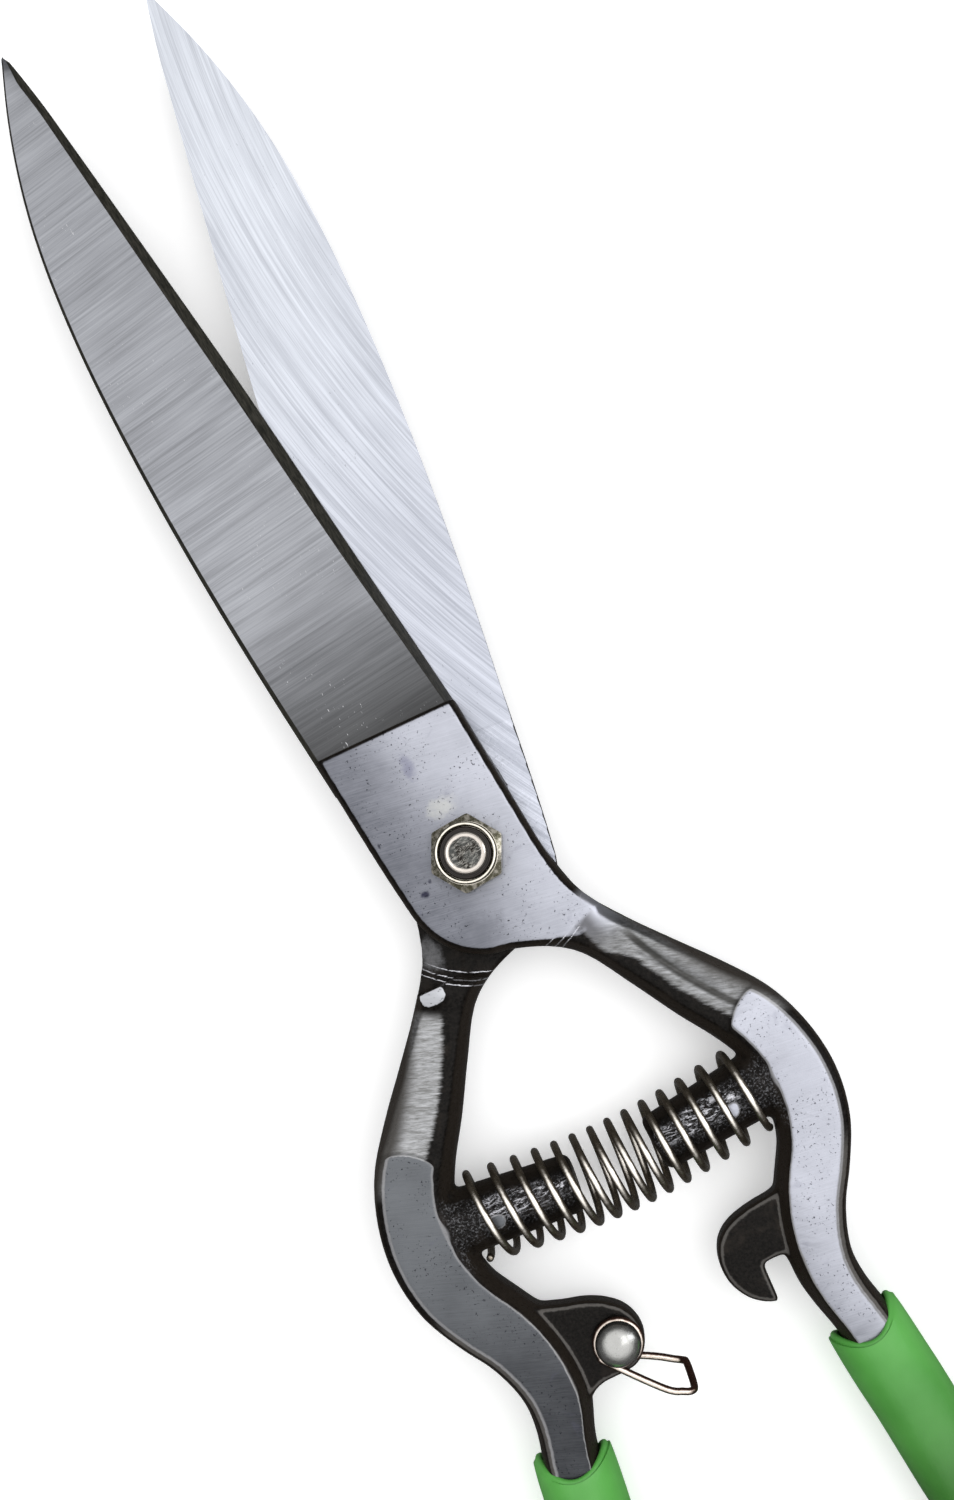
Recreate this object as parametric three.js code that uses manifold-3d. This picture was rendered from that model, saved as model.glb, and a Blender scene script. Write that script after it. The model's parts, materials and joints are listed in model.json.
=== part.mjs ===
// Grass shears: two crossed forged limbs on a bolt, pushed open by a coil spring and
// held shut by a wire latch. Millimetres; +Y to the blade tips, +X right, +Z to the nut.
import * as THREE from "three";
import { mergeVertices } from "three/addons/utils/BufferGeometryUtils.js";
import Module from "manifold-3d";

const wasm = await Module();
wasm.setup();

// ---- stack along Z, from the outer face of the bolt head at z = 0 ----
const headHeight = 5.3;
const seatGap = 0.2;
const hubThickness = 6;
const faceGap = 0.3; // between the two hub halves
const halfThickness = hubThickness + faceGap / 2; // handles are this thick each way
const midZ = headHeight + seatGap + halfThickness;
const nutSeatZ = midZ + halfThickness + seatGap;

// ---- fasteners ----
const boltRadius = 4;
const boltHoleRadius = 4.3;
const acrossFlats = 13;
const hexCornerRadius = acrossFlats / Math.sqrt(3);
const hexFaceRadius = acrossFlats / 2 - 0.2; // the round face left by the chamfer
const hexChamfer = 0.75; // height of the turned chamfer on its corners
const nutTurn = THREE.MathUtils.degToRad(4.8); // a corner this far round from +X
const nutHexHeight = 5.9;
const nutHeight = 8;
const collarRadius = 5.85;
const collarRound = 0.5;
const lipRadius = 4.95; // opening in the rolled lip of the collar
const insertRadius = 5.05;
const insertHeight = 1.5;
const insertPlay = 0.05; // between the ring and its pocket
const boltProud = 0.4; // bolt end above the nut
const boltEndChamfer = 0.7;
const threadPlay = 0.25; // between the bolt and the nut's bore

// ---- blades ----
const frontLean = THREE.MathUtils.degToRad(5.2); // blades off the centre line, half open
const rearLean = THREE.MathUtils.degToRad(4.6);
const spineLine = [
  [-15.5, 8], [-16.7, 28], [-17.7, 58], [-17.6, 88], [-16.1, 117],
  [-13, 139.5], [-9.2, 154.5], [-4.9, 166.5], [-0.3, 176.6],
];
const edgeLine = [
  [13, 8], [12, 30], [9.9, 63], [7.7, 99], [5, 132], [3.1, 154], [1.9, 167], [0.5, 176.6],
];
const spineThickness = [4.9, 2.2]; // at the hub and at the tip
const bevelThickness = [2.9, 1.5]; // where the cutting bevel starts
const edgeThickness = 0.45;
const bevelWidth = [1.2, 2.2];
const spineChamfer = 1.1; // across the blade
const spineChamferDrop = 0.9; // down its back
const bladeSections = 22;

// ---- hub half, seen from the front ----
// right side, down to the bar; then under the bar; then round the heel and up the left side
const hubRight = [[9.9, 28.2], [12.3, 4.5], [13.4, -5.5], [15, -12.6], [18.6, -19.2]];
const hubHeel = [
  [7.5, -22.6], [0.2, -19.8], [-4.6, -18.8], [-9, -16.3], [-12.3, -12.7], [-14.3, -8.3],
  [-15.3, -3], [-16.8, 8], [-19.1, 28.2],
];
const hubBevel = 0.6;
const stepRadius = 23.5; // the other hub half turns inside this

// ---- handle bar: stations down its length ----
// outer x, outer y, inner x, inner y, where its flat starts and ends across it, half height
const barStations = [
  [13.2, -3.6, -5, -18.5, 0.05, 0.95, 6.15],
  [16, -14.6, 4.5, -21.5, 0.1, 0.88, 6.15],
  [21.6, -22.9, 11.4, -26.2, 0.22, 0.74, 5.95],
  [28.7, -31.4, 17.2, -35.2, 0.25, 0.7, 5.85],
  [35.6, -39.5, 22.8, -44.6, 0.22, 0.7, 5.95],
  [41.4, -47.6, 28, -52.6, 0.08, 0.66, 6.15],
  [44.9, -56.8, 31, -59.6, 0.05, 0.7, 6.15],
  [46.1, -66.2, 31.2, -67.6, 0.05, 0.73, 6.15],
  [44.6, -75.6, 29.8, -74.6, 0.05, 0.78, 6.15],
  [40.7, -83.9, 25.4, -82.6, 0.06, 0.79, 6.15],
  [36.7, -90.6, 22.9, -91.1, 0.08, 0.79, 6.15],
  [34.1, -98.1, 22, -98.9, 0.09, 0.73, 6.15],
  [34.2, -104.6, 22.9, -105.2, 0.12, 0.75, 6.15],
  [35.8, -111.6, 24.7, -112, 0.14, 0.77, 6.15],
  [37.4, -120.6, 26.5, -121.6, 0.2, 0.8, 6],
  [41.2, -149.6, 31, -150.6, 0.25, 0.75, 5.4],
  [43, -184.6, 34.4, -184.6, 0.25, 0.75, 4.8],
  [41.8, -211.6, 34.8, -211.6, 0.25, 0.75, 4.2],
];
const barSections = 60;
const barSideSteps = 4; // facets down each rounded side to the parting line
const gripStart = 13; // the station where the grip's mouth lies
const rearSwell = 1.2; // the rear limb's bar is this much wider on its outer side

// ---- spring stubs ----
const stubRoot = [34, -62.8];
const stubEnd = [8.2, -65.4];
const stubRootRadius = 6.7;
const stubEndRadius = 5.8;
const stubEndBevel = 0.8;
const stubFlattening = 0.88; // the stub is lower than it is wide
const nubAt = [24.4, -65.3];
const nubRadius = 1.5;

// ---- latch plates: the hook on the front limb, the lug on the rear one ----
const plateHalf = 3.2;
const plateBevel = 0.5;
const slotLeft = 17.4;
const slotRight = 21.9;
const slotTop = -94.4;
const rivetAt = [-13.9, -95.9];
const rivetRadius = 3;
const rivetHoleRadius = 3.3;
const domeRadius = 4.4;
const domeHeight = 2.9;
const domeSteps = 6;
const tailHeight = 1.5;
const tailRadius = 4.1;

// ---- wire parts ----
const wireGap = 0.3;
const bailWire = 1.45;
const bailZ = plateHalf + wireGap + bailWire / 2;
const eyeRadius = 4.3;
const eyeSteps = 14;
const bailFrontLeg = [-9.7, -107.4]; // where each leg bends away from its eye
const bailFrontEnd = [-4.5, -110.4];
const bailBackLeg = [-9.5, -103.2];
const bailBackEnd = [-4.1, -106.2];
const bailCorner = 1.2;
const springWire = 1.5;
const springRadius = 8.5; // to the middle of the wire
const springTurns = 14;
const springHalfLength = 29.7;
const springEndY = -63.2;
const springSag = 2.8;
const springCrowding = 0.14; // how much closer the coils lie in the middle

// ---- grips ----
const gripRings = [
  // middle of each ring from mouth to end, its width to each side and its height each way
  [29.9, -111.1, 7.3, 7.6], [30.4, -114.1, 7.9, 8], [33, -134.6, 8, 8],
  [36.7, -164.6, 8.4, 8], [38.5, -191.6, 8.4, 7.8], [38.4, -213.6, 7.8, 7.2],
  [38.1, -221.6, 6, 5.6], [38, -225.2, 2.6, 2.4],
];
const gripSides = 28;
const gripClearance = 0.3; // between the sleeve and the bar inside it

const steel = { metalness: 0.9, roughness: 0.38 };
const vinyl = { metalness: 0, roughness: 0.5 };

function solidOf(geometry) {
  const bare = geometry.clone();
  bare.deleteAttribute("normal");
  bare.deleteAttribute("uv");
  const merged = mergeVertices(bare, 1e-4);
  return new wasm.Manifold(new wasm.Mesh({
    numProp: 3,
    vertProperties: new Float32Array(merged.attributes.position.array),
    triVerts: new Uint32Array(merged.index.array),
  }));
}

function geometryOf(solid) {
  const mesh = solid.getMesh();
  const geometry = new THREE.BufferGeometry();
  geometry.setAttribute("position", new THREE.BufferAttribute(mesh.vertProperties, 3));
  geometry.setIndex(new THREE.BufferAttribute(mesh.triVerts, 1));
  geometry.computeVertexNormals();
  return geometry;
}

function part(name, geometry, colour, finish) {
  const material = new THREE.MeshStandardMaterial({ color: colour, ...finish });
  const mesh = new THREE.Mesh(geometry, material);
  mesh.name = name;
  return mesh;
}

// A closed skin over rings of equal length; each ring runs anticlockwise seen from its end.
function loft(rings) {
  const count = rings[0].length;
  const positions = rings.flat().flatMap((p) => [p.x, p.y, p.z]);
  const triangles = [];
  for (let i = 0; i + 1 < rings.length; i += 1) {
    for (let j = 0; j < count; j += 1) {
      const a = i * count + j;
      const b = i * count + ((j + 1) % count);
      triangles.push(a, b, b + count, a, b + count, a + count);
    }
  }
  const last = (rings.length - 1) * count;
  for (let j = 1; j + 1 < count; j += 1) {
    triangles.push(0, j + 1, j);
    triangles.push(last, last + j, last + j + 1);
  }
  const geometry = new THREE.BufferGeometry();
  geometry.setAttribute("position", new THREE.Float32BufferAttribute(positions, 3));
  geometry.setIndex(triangles);
  return geometry.toNonIndexed();
}

function splineThrough(points) {
  return new THREE.SplineCurve(points.map(([x, y]) => new THREE.Vector2(x, y)));
}

function outline(points) {
  return new THREE.Shape(points.map(([x, y]) => new THREE.Vector2(x, y)));
}

// A plate between two heights whose outer edges are bevelled inside its outline.
function plate(shape, bottom, top, bevel, curveSegments = 12) {
  const geometry = new THREE.ExtrudeGeometry(shape, {
    depth: top - bottom - 2 * bevel,
    bevelThickness: bevel,
    bevelSize: bevel,
    bevelOffset: -bevel,
    bevelSegments: 1,
    curveSegments,
  });
  return geometry.translate(0, 0, bottom + bevel);
}

function cylinder(radius, bottom, top, x = 0, y = 0, sides = 40) {
  const geometry = new THREE.CylinderGeometry(radius, radius, top - bottom, sides);
  geometry.rotateX(Math.PI / 2);
  return geometry.translate(x, y, (top + bottom) / 2);
}

// Turned about Z: profile points are [radius, z], from the axis round to the axis.
function turned(profile, sides = 40) {
  const points = profile.map(([r, z]) => new THREE.Vector2(r, z));
  return new THREE.LatheGeometry(points, sides).rotateX(Math.PI / 2);
}

function mix(pair, t) {
  return THREE.MathUtils.lerp(pair[0], pair[1], t);
}

// The blade: a flat inner face, a thick spine and a ground bevel on the cutting side.
function blade(lean) {
  const spine = splineThrough(spineLine);
  const edge = splineThrough(edgeLine);
  const inner = faceGap / 2;
  const rings = [];
  for (let i = 0; i < bladeSections; i += 1) {
    const t = i / (bladeSections - 1);
    const s = spine.getPoint(t);
    const e = edge.getPoint(t);
    const width = s.distanceTo(e);
    const across = (distance) => s.clone().lerp(e, distance / width);
    const chamfer = across(Math.min(spineChamfer, width * 0.25));
    const bevel = across(width - Math.min(mix(bevelWidth, t), width * 0.4));
    const thick = mix(spineThickness, t);
    rings.push([
      new THREE.Vector3(s.x, s.y, inner),
      new THREE.Vector3(s.x, s.y, inner + thick - spineChamferDrop),
      new THREE.Vector3(chamfer.x, chamfer.y, inner + thick),
      new THREE.Vector3(bevel.x, bevel.y, inner + mix(bevelThickness, t)),
      new THREE.Vector3(e.x, e.y, inner + edgeThickness),
      new THREE.Vector3(e.x, e.y, inner),
    ]);
  }
  return loft(rings).rotateZ(lean);
}

// The rings of the handle bar from one station to another, grown all round by `grow`. Its
// outer side stands out by `swell`, and near the grip the inner side follows it.
function barRings(from, to, sections, grow, swell) {
  const rails = (i, j) => splineThrough(barStations.map((s) => [s[i], s[j]]));
  const outer = rails(0, 1);
  const inner = rails(2, 3);
  const flats = rails(4, 5);
  const heights = rails(6, 6);
  const spans = barStations.length - 1;
  const rings = [];
  for (let i = 0; i < sections; i += 1) {
    const t = THREE.MathUtils.lerp(from, to, i / (sections - 1)) / spans;
    const flat = flats.getPoint(t);
    const height = heights.getPoint(t).x + grow;
    const o = outer.getPoint(t);
    const n = inner.getPoint(t);
    const outward = o.clone().sub(n).normalize();
    o.addScaledVector(outward, grow + swell);
    n.addScaledVector(outward, swell * THREE.MathUtils.smoothstep(t * spans, 11, 13) - grow);
    const at = (share, z) => {
      const p = o.clone().lerp(n, share);
      return new THREE.Vector3(p.x, p.y, z);
    };
    const upper = [at(flat.x, height), at(flat.y, height)];
    for (let k = barSideSteps - 1; k >= 0; k -= 1) {
      const angle = ((k / barSideSteps) * Math.PI) / 2;
      const inset = 1 - Math.cos(angle);
      upper.unshift(at(flat.x * inset, height * Math.sin(angle)));
      upper.push(at(1 - (1 - flat.y) * inset, height * Math.sin(angle)));
    }
    const lower = upper.slice(1, -1).reverse();
    rings.push([...upper, ...lower.map((p) => new THREE.Vector3(p.x, p.y, -p.z))]);
  }
  return rings;
}

function handleBar(swell) {
  return solidOf(loft(barRings(0, barStations.length - 1, barSections, 0, swell)));
}

function hub() {
  const right = splineThrough(hubRight).getPoints(14);
  const heel = splineThrough(hubHeel).getPoints(36);
  const shape = new THREE.Shape([...right, ...heel]);
  const solid = solidOf(plate(shape, -3, halfThickness, hubBevel));
  const below = new THREE.BoxGeometry(120, 120, 20).translate(0, 0, faceGap / 2 - 10);
  return solid.subtract(solidOf(below));
}

function stub() {
  const [rx, ry] = stubRoot;
  const [ex, ey] = stubEnd;
  const length = Math.hypot(ex - rx, ey - ry);
  const profile = [
    [0, 0], [stubRootRadius, 0], [stubEndRadius, length - stubEndBevel],
    [stubEndRadius - stubEndBevel, length], [0, length],
  ];
  const points = profile.map(([r, y]) => new THREE.Vector2(r, y));
  const geometry = new THREE.LatheGeometry(points, 28).scale(1, 1, stubFlattening);
  geometry.rotateZ(Math.atan2(ey - ry, ex - rx) - Math.PI / 2);
  return solidOf(geometry.translate(rx, ry, 0));
}

function nubs() {
  const [x, y] = nubAt;
  return solidOf(cylinder(nubRadius, -halfThickness, halfThickness, x, y, 20));
}

// A latch plate's outline: its root inside the bar, the web and the rounded head.
function plateShape(head, foot) {
  const web = [[35, -68.6], [31, -73], [25.4, -82.6]];
  const root = [[31, -108], [31, -90], [37, -76]];
  return new THREE.Shape([
    ...outline(web).getPoints(), ...splineThrough(head).getPoints(26),
    ...outline(foot).getPoints(), ...outline(root).getPoints(),
  ]);
}

function hookPlate() {
  const head = [
    [23.2, -83], [19, -83.4], [14.4, -84.7], [11.3, -87.2], [9.8, -91.2], [10.1, -95.4],
    [12, -99], [14.6, -101.2], [17.2, -102.3],
  ];
  const foot = [[slotLeft, slotTop], [slotRight, slotTop], [22.5, -103.1], [25.2, -110]];
  return solidOf(plate(plateShape(head, foot), -plateHalf, plateHalf, plateBevel));
}

function lugPlate() {
  const head = [
    [24.6, -83.6], [20.5, -85.1], [16.6, -86.2], [12.9, -88.1], [9.9, -91], [8.6, -95],
    [9.5, -98.7], [12.2, -101.4], [15.8, -102], [20.6, -102.2], [24.4, -104.6],
  ];
  const foot = [[26.8, -108]];
  const [x, y] = rivetAt;
  const hole = solidOf(cylinder(rivetHoleRadius, -10, 10, -x, y, 32));
  return solidOf(plate(plateShape(head, foot), -plateHalf, plateHalf, plateBevel)).subtract(hole);
}

// One forging, lying with its hub half above the joint plane z = 0.
function limb(latchPlate, lean, swell) {
  const turning = solidOf(cylinder(stepRadius, -20, faceGap / 2, 0, 0, 64));
  const hole = solidOf(cylinder(boltHoleRadius, -20, 20, 0, 0, 40));
  const bar = handleBar(swell).add(stub()).add(nubs()).add(latchPlate).subtract(turning);
  return bar.add(hub()).add(solidOf(blade(lean))).subtract(hole);
}

// A hexagon whose corners are turned down at each end; `turn` is its first corner's angle.
function hexagon(bottom, top, bottomRadius, topRadius, turn) {
  const outside = hexCornerRadius + 0.1;
  const prism = cylinder(hexCornerRadius, bottom, top, 0, 0, 6).rotateZ(Math.PI / 6 + turn);
  const round = turned([
    [0, bottom], [bottomRadius, bottom], [outside, bottom + hexChamfer],
    [outside, top - hexChamfer], [topRadius, top], [0, top],
  ]);
  return solidOf(prism).intersect(solidOf(round));
}

function pivotBolt() {
  const end = nutSeatZ + nutHeight + boltProud;
  const shank = turned([
    [0, headHeight - 1], [boltRadius, headHeight - 1], [boltRadius, end - boltEndChamfer],
    [boltRadius - boltEndChamfer, end], [0, end],
  ]);
  const head = hexagon(0, headHeight, hexFaceRadius, hexCornerRadius, 0);
  return head.add(solidOf(shank));
}

function pivotNut() {
  const top = nutSeatZ + nutHeight;
  const seat = nutSeatZ + nutHexHeight;
  const collar = turned([
    [0, seat - 1], [collarRadius, seat - 1], [collarRadius, top - collarRound],
    [collarRadius - collarRound, top], [0, top],
  ]);
  const bore = cylinder(boltRadius + threadPlay, nutSeatZ - 1, top + 1);
  const pocketTop = seat + insertHeight + 2 * insertPlay;
  const pocket = cylinder(insertRadius + insertPlay, seat, pocketTop);
  const mouth = cylinder(lipRadius, seat, top + 1);
  return hexagon(nutSeatZ, seat, hexFaceRadius, hexFaceRadius, nutTurn)
    .add(solidOf(collar))
    .subtract(solidOf(bore))
    .subtract(solidOf(pocket))
    .subtract(solidOf(mouth));
}

function nutInsert() {
  const bottom = nutSeatZ + nutHexHeight + insertPlay;
  const top = bottom + insertHeight;
  const bore = cylinder(boltRadius + threadPlay, bottom - 1, top + 1);
  return solidOf(cylinder(insertRadius, bottom, top)).subtract(solidOf(bore));
}

function latchRivet() {
  const under = plateHalf + 2 * wireGap + bailWire;
  const dome = [];
  for (let i = 0; i < domeSteps; i += 1) {
    const angle = (i / domeSteps) * (Math.PI / 2);
    dome.push([domeRadius * Math.cos(angle), under + domeHeight * Math.sin(angle)]);
  }
  return turned([
    [0, -under - tailHeight], [tailRadius - 0.9, -under - tailHeight],
    [tailRadius, -under - 0.6], [tailRadius, -under], [rivetRadius, -under],
    [rivetRadius, under], ...dome, [0, under + domeHeight],
  ], 32);
}

// The wire of the latch: an eye round the rivet, a leg, the cross bar, a leg and an eye.
function bailPath() {
  const [cx, cy] = rivetAt;
  const eye = (z, start, end) => {
    const points = [];
    for (let i = 0; i <= eyeSteps; i += 1) {
      const angle = THREE.MathUtils.degToRad(start + ((end - start) * i) / eyeSteps);
      points.push(new THREE.Vector3(
        cx + eyeRadius * Math.cos(angle), cy + eyeRadius * Math.sin(angle), z,
      ));
    }
    return points;
  };
  const wire = ([x, y], z) => new THREE.Vector3(x, y, z);
  const beforeCorner = ([x, y]) => [x - bailCorner, y + bailCorner / 4];
  const front = [...eye(bailZ, -65, 215), wire(bailFrontLeg, bailZ)];
  const back = [...eye(-bailZ, -55, 240), wire(bailBackLeg, -bailZ)];
  return [
    ...front,
    wire(beforeCorner(bailFrontEnd), bailZ), wire(bailFrontEnd, bailZ - bailCorner),
    wire(bailBackEnd, bailCorner - bailZ), wire(beforeCorner(bailBackEnd), -bailZ),
    ...back.reverse(),
  ];
}

function tube(curve, diameter, steps, sides) {
  const section = new THREE.Shape();
  for (let i = 0; i < sides; i += 1) {
    const angle = (2 * Math.PI * i) / sides;
    const x = (diameter / 2) * Math.cos(angle);
    const y = (diameter / 2) * Math.sin(angle);
    if (i === 0) section.moveTo(x, y);
    else section.lineTo(x, y);
  }
  section.closePath();
  return new THREE.ExtrudeGeometry(section, { steps, extrudePath: curve, bevelEnabled: false });
}

function latchBail() {
  const curve = new THREE.CatmullRomCurve3(bailPath(), false, "centripetal");
  return tube(curve, bailWire, 90, 8);
}

// A helix round a line that sags between the two stubs; it starts and ends underneath.
class SpringLine extends THREE.Curve {
  getPoint(t, target = new THREE.Vector3()) {
    const turn = springTurns * 2 * Math.PI * t;
    const along = 2 * t - 1;
    const spread = (1 - springCrowding) * along + springCrowding * along ** 3;
    return target.set(
      springHalfLength * spread,
      springEndY - springSag * (1 - along ** 2) - springRadius * Math.cos(turn),
      midZ - springRadius * Math.sin(turn),
    );
  }
}

function returnSpring() {
  return tube(new SpringLine(), springWire, springTurns * 14, 7);
}

// A soft sleeve with an open mouth, hollow where the bar goes.
function grip(swell) {
  const points = gripRings.map(([x, y]) => new THREE.Vector2(x + swell, y));
  const rings = gripRings.map(([, , width, height], i) => {
    const { x, y } = points[i];
    const before = points[Math.max(i - 1, 0)];
    const after = points[Math.min(i + 1, points.length - 1)];
    const along = after.clone().sub(before).normalize();
    const ring = [];
    for (let j = 0; j < gripSides; j += 1) {
      const angle = (2 * Math.PI * j) / gripSides;
      const across = width * Math.cos(angle);
      ring.push(new THREE.Vector3(
        x - along.y * across, y + along.x * across, height * Math.sin(angle),
      ));
    }
    return ring;
  });
  const hollow = barRings(gripStart - 1, barStations.length - 1, 20, gripClearance, swell);
  return solidOf(loft(rings)).subtract(solidOf(loft(hollow)));
}

const shears = new THREE.Group();

const frontSide = new THREE.Group();
frontSide.position.z = midZ;
frontSide.add(part("front_limb", geometryOf(limb(hookPlate(), frontLean, 0)), 0x8b8f93, steel));
frontSide.add(part("front_grip", geometryOf(grip(0)), 0x5fa552, vinyl));
shears.add(frontSide);

const rearSide = new THREE.Group();
rearSide.position.z = midZ;
rearSide.rotation.y = Math.PI;
rearSide.add(part("rear_limb", geometryOf(limb(lugPlate(), rearLean, rearSwell)), 0x9a9ea2, steel));
rearSide.add(part("rear_grip", geometryOf(grip(rearSwell)), 0x5fa552, vinyl));
shears.add(rearSide);

shears.add(part("pivot_bolt", geometryOf(pivotBolt()), 0xb9b4a6, steel));
shears.add(part("pivot_nut", geometryOf(pivotNut()), 0xb9b4a6, steel));
shears.add(part("nut_insert", geometryOf(nutInsert()), 0x2d2b27, { metalness: 0, roughness: 0.6 }));
shears.add(part("return_spring", returnSpring(), 0x9c948a, steel));

const latch = new THREE.Group();
latch.position.z = midZ;
const rivet = part("latch_rivet", latchRivet(), 0xb9b4a6, steel);
rivet.position.set(rivetAt[0], rivetAt[1], 0);
latch.add(rivet);
latch.add(part("latch_bail", latchBail(), 0xb09a86, steel));
shears.add(latch);

export default shears;
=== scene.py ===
"""Grass shears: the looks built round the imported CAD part. Metres, in the CAD frame."""

import json
import math

import bmesh
import bpy
import numpy as np
from mathutils import Matrix, Vector, kdtree, noise


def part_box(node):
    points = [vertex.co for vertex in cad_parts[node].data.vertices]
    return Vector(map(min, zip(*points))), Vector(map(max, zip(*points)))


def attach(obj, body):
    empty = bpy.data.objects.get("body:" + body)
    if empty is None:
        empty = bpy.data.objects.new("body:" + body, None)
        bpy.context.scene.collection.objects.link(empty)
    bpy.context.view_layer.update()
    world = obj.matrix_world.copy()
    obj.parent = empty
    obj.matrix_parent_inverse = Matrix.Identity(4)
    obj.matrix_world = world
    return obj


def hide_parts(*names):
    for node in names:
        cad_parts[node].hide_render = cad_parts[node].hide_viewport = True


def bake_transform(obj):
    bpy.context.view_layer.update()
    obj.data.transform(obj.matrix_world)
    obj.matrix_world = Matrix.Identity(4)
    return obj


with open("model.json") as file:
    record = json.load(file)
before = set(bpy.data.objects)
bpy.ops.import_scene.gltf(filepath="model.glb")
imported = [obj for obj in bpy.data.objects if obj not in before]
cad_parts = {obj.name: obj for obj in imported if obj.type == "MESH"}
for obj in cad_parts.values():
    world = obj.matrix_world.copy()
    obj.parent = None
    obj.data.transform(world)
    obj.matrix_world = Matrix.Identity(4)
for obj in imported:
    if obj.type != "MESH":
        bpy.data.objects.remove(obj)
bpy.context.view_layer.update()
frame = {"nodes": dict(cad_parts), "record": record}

MM = 0.001
JOINTS = {joint["name"]: joint for joint in frame["record"]["behaviour"]["joints"]}
PIVOT = Vector(JOINTS["blade_pivot"]["pos_m"])
RIVET = Vector(JOINTS["latch_swing"]["pos_m"])
MID = PIVOT.z  # the plane where the two limbs meet

# ---- driving dimensions, millimetres in a limb's own frame: its hub half at z > 0 ----
HALF_THICK = 6.15  # joint plane to a ground face
FACE_GAP = 0.15  # joint plane to the blade's flat
SHOULDER_Y = 28.1  # end of the hub half, where the blade starts
TANG_END_Y = -124.0  # the bar is cut off here, inside its grip
VOXEL = 0.42  # of the remeshed forging
EDGE_REACH = 1.5  # the ground faces are eased off over this much before the outline
OUTER_REACH = 2.8  # the same on the outer side of the handles
EDGE_DROP = 1.1  # how far below the ground face the outline ends up
ARCH = (34.4, -47.2)  # where the ground face of the handle starts, on the bar's centre line
BLADE_LEAN = {"front_limb": 5.2, "rear_limb": 4.6}  # degrees off the centre line
ARC_CENTRE = (240, 143)  # the joint faces' grinding marks are circles about it
ARC_RADIUS = 236
STUB_TOP_Y = -62.8  # line along the stub where the spring rubs
SCORED_ARCS = ((22.6, 0.1), (23.9, 0.14), (24.9, 0.12))  # radius and width, at the step
NUT_FLATS = 13
BOLT_RADIUS = 4.0
BAIL_WIRE = 0.72  # radius of the latch's wire
SPRING_WIRE = 0.75


# ------------------------------------------------------------------ mesh helpers
def limb_matrix(node):
    """From a limb's own frame in millimetres to the row frame in metres."""
    turn = Matrix.Rotation(math.pi, 4, "Y") if node.startswith("rear") else Matrix.Identity(4)
    return Matrix.Translation((0, 0, MID)) @ turn @ Matrix.Scale(MM, 4)


def coords(mesh):
    flat = np.empty(len(mesh.vertices) * 3, dtype=np.float32)
    mesh.vertices.foreach_get("co", flat)
    return flat.reshape(-1, 3).astype(float)


def edge_ends(mesh):
    """Pairs of vertex numbers, one for each edge."""
    flat = np.empty(len(mesh.edges) * 2, dtype=np.int32)
    mesh.edges.foreach_get("vertices", flat)
    return flat.reshape(-1, 2)


def set_coords(mesh, points):
    mesh.vertices.foreach_set("co", points.astype(np.float32).ravel())
    mesh.update()


def vertex_normals(mesh):
    flat = np.empty(len(mesh.vertices) * 3, dtype=np.float32)
    mesh.vertices.foreach_get("normal", flat)
    return flat.reshape(-1, 3)


def mesh_from(name, points, faces):
    mesh = bpy.data.meshes.new(name)
    mesh.from_pydata([tuple(p) for p in points], [], faces)
    mesh.update()
    return mesh


def add_object(name, mesh):
    piece = bpy.data.objects.new(name, mesh)
    bpy.context.scene.collection.objects.link(piece)
    return piece


def baked(piece):
    """The piece's mesh with its modifiers applied; the piece then has none."""
    graph = bpy.context.evaluated_depsgraph_get()
    mesh = bpy.data.meshes.new_from_object(piece.evaluated_get(graph))
    piece.modifiers.clear()
    piece.data = mesh
    return mesh


def smooth_shade(mesh, angle):
    """Smooth shading with sharp edges where faces meet at more than the angle."""
    mesh.shade_smooth()
    mesh.set_sharp_from_angle(angle=math.radians(angle))


def welded(mesh, distance=0.0):
    """The mesh with points closer than the distance merged and its faces turned outward."""
    bm = bmesh.new()
    bm.from_mesh(mesh)
    if distance:
        bmesh.ops.remove_doubles(bm, verts=bm.verts, dist=distance)
    bmesh.ops.recalc_face_normals(bm, faces=bm.faces)
    bm.to_mesh(mesh)
    bm.free()
    return mesh


def lofted(name, rings):
    """A skin over rings with the same number of points, closed at both ends."""
    count = len(rings[0])
    points = [p for ring in rings for p in ring]
    faces = []
    for i in range(len(rings) - 1):
        for j in range(count):
            a = i * count + j
            b = i * count + (j + 1) % count
            faces.append((a, b, b + count, a + count))
    last = (len(rings) - 1) * count
    faces.append(tuple(reversed(range(count))))
    faces.append(tuple(range(last, last + count)))
    return welded(mesh_from(name, points, faces))


def turned(name, profile, x=0.0, y=0.0, sides=64):
    """A lathe about Z through (x, y): profile points are (radius, z) in millimetres."""
    points = []
    for k in range(sides):
        a = 2 * math.pi * k / sides
        points += [(x + r * math.cos(a), y + r * math.sin(a), z) for r, z in profile]
    count = len(profile)
    faces = []
    for k in range(sides):
        for j in range(count - 1):
            a = k * count + j
            b = ((k + 1) % sides) * count + j
            faces.append((a, b, b + 1, a + 1))
    return welded(mesh_from(name, points, faces), 1e-5)


def rounded(profile, radius, steps=4):
    """The profile with every inner corner turned into a small arc."""
    out = [profile[0]]
    for before, at, after in zip(profile, profile[1:], profile[2:]):
        p, a, b = Vector(at), Vector(before), Vector(after)
        reach = min(radius, (a - p).length / 2, (b - p).length / 2)
        start = p + (a - p).normalized() * reach
        end = p + (b - p).normalized() * reach
        for k in range(steps + 1):
            t = k / steps
            out.append(tuple(start.lerp(p, t).lerp(p.lerp(end, t), t)))
    out.append(profile[-1])
    return out


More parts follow.
